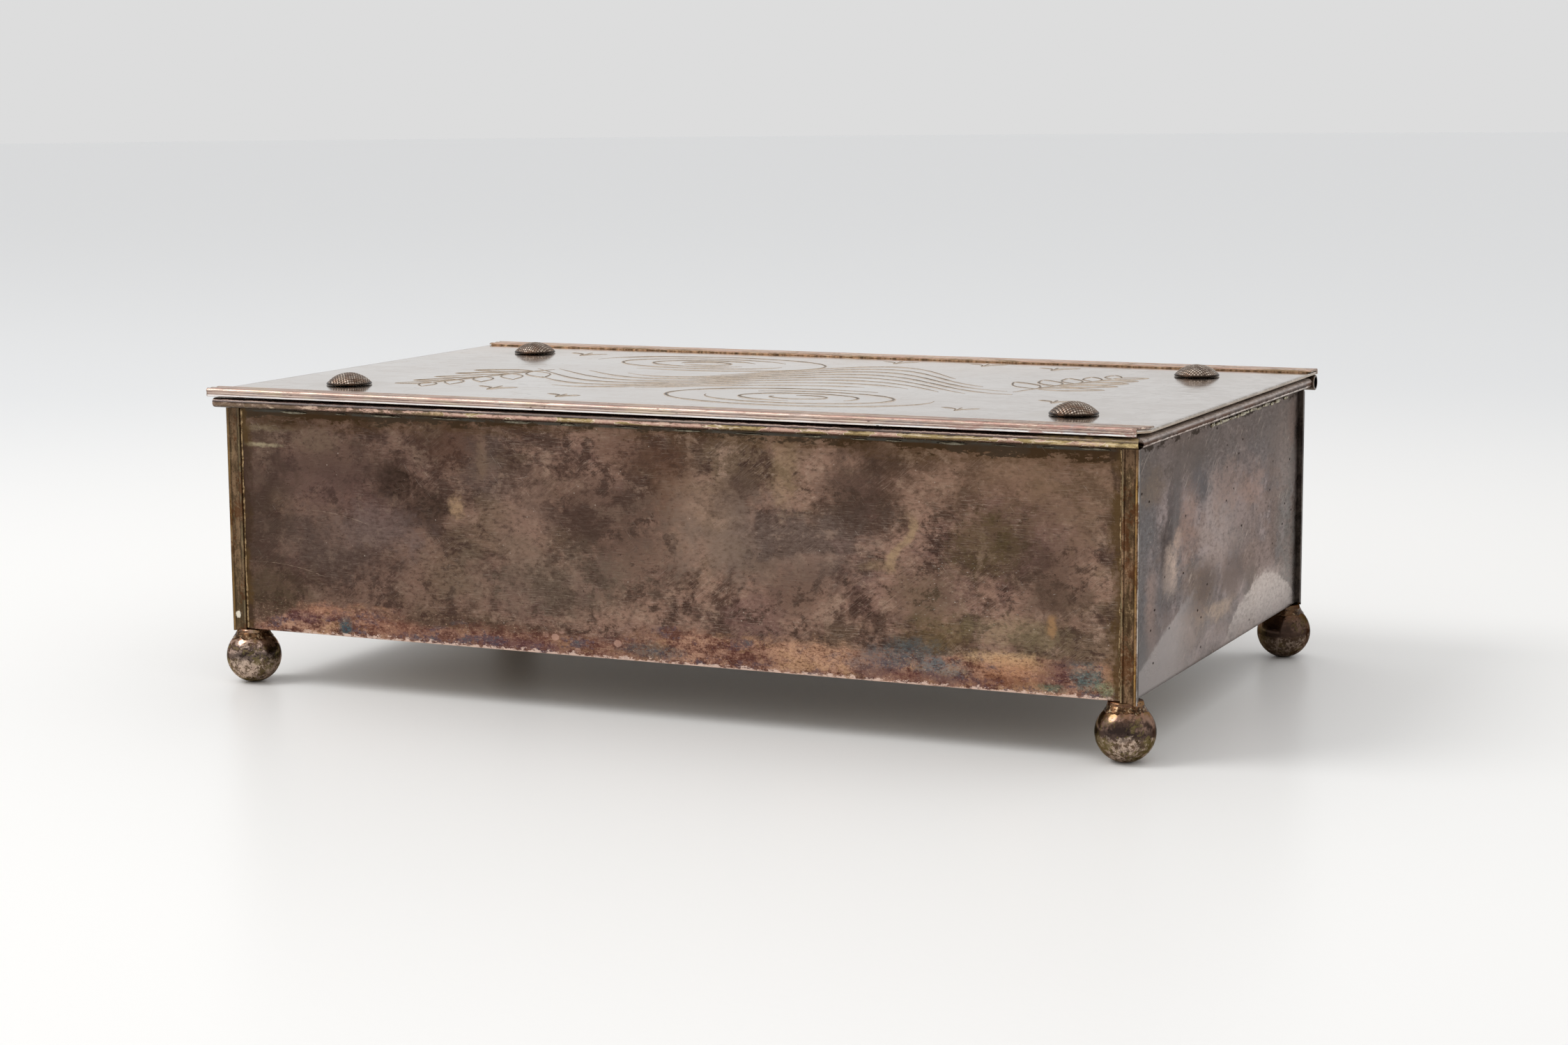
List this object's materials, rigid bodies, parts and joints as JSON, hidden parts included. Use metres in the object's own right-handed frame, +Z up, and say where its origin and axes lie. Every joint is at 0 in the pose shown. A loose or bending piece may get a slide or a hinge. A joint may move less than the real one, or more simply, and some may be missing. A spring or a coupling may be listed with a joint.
{
  "type": "hinged metal keepsake box",
  "caption": "Rectangular sheet-metal keepsake box on ball feet, with reeded mouldings, a flat lid with domed studs, and a tube hinge along the back.",
  "frame": {"origin": "on the table under the middle of the closed box's footprint", "axes": "+Z up, X along the front with +X to the right as seen from the front, the front faces -Y and the hinge is at the back, at +Y"},
  "size_m": [0.2568, 0.1534, 0.0814],
  "materials": {
    "front_plate": "silver plate tarnished mottled brown, satin",
    "side_plate": "silver plate tarnished grey-brown, satin",
    "lid_plate": "silver plate, polished, lightly toned",
    "moulding": "silver plate worn to an olive and golden brown",
    "copper_reeds": "silver plate worn through to pink copper",
    "ball": "polished, pitted and tarnished silver plate",
    "stud": "dark patinated silver plate with a beaded lattice",
    "hinge": "dark tarnished tube"
  },
  "bodies": {
    "case": {"front_wall": "front_plate", "back_wall": "front_plate", "left_wall": "side_plate", "right_wall": "side_plate", "bottom_plate": "side_plate", "corner_strip_front_left": "moulding", "corner_strip_front_right": "moulding", "corner_strip_back_left": "moulding", "corner_strip_back_right": "moulding", "rim_rail_front": "moulding", "rim_rail_left": "moulding", "rim_rail_right": "moulding", "ball_foot_front_left": "ball", "ball_foot_front_right": "ball", "ball_foot_back_left": "ball", "ball_foot_back_right": "ball", "hinge_knuckle_case_1": "hinge", "hinge_knuckle_case_2": "hinge", "hinge_knuckle_case_3": "hinge", "hinge_knuckle_case_4": "hinge", "hinge_pin": "hinge"},
    "lid": {"lid_plate": "lid_plate", "reed_strip_front": "copper_reeds", "reed_strip_back": "copper_reeds", "lid_stud_front_left": "stud", "lid_stud_front_right": "stud", "lid_stud_back_left": "stud", "lid_stud_back_right": "stud", "hinge_knuckle_lid_1": "hinge", "hinge_knuckle_lid_2": "hinge", "hinge_knuckle_lid_3": "hinge"}
  },
  "joints": [
    {"name": "lid_hinge", "type": "hinge", "parent": "case", "child": "lid", "pos_m": [0, 0.0746, 0.0751], "axis": [-1, 0, 0], "range_deg": [0, 105]}
  ]
}
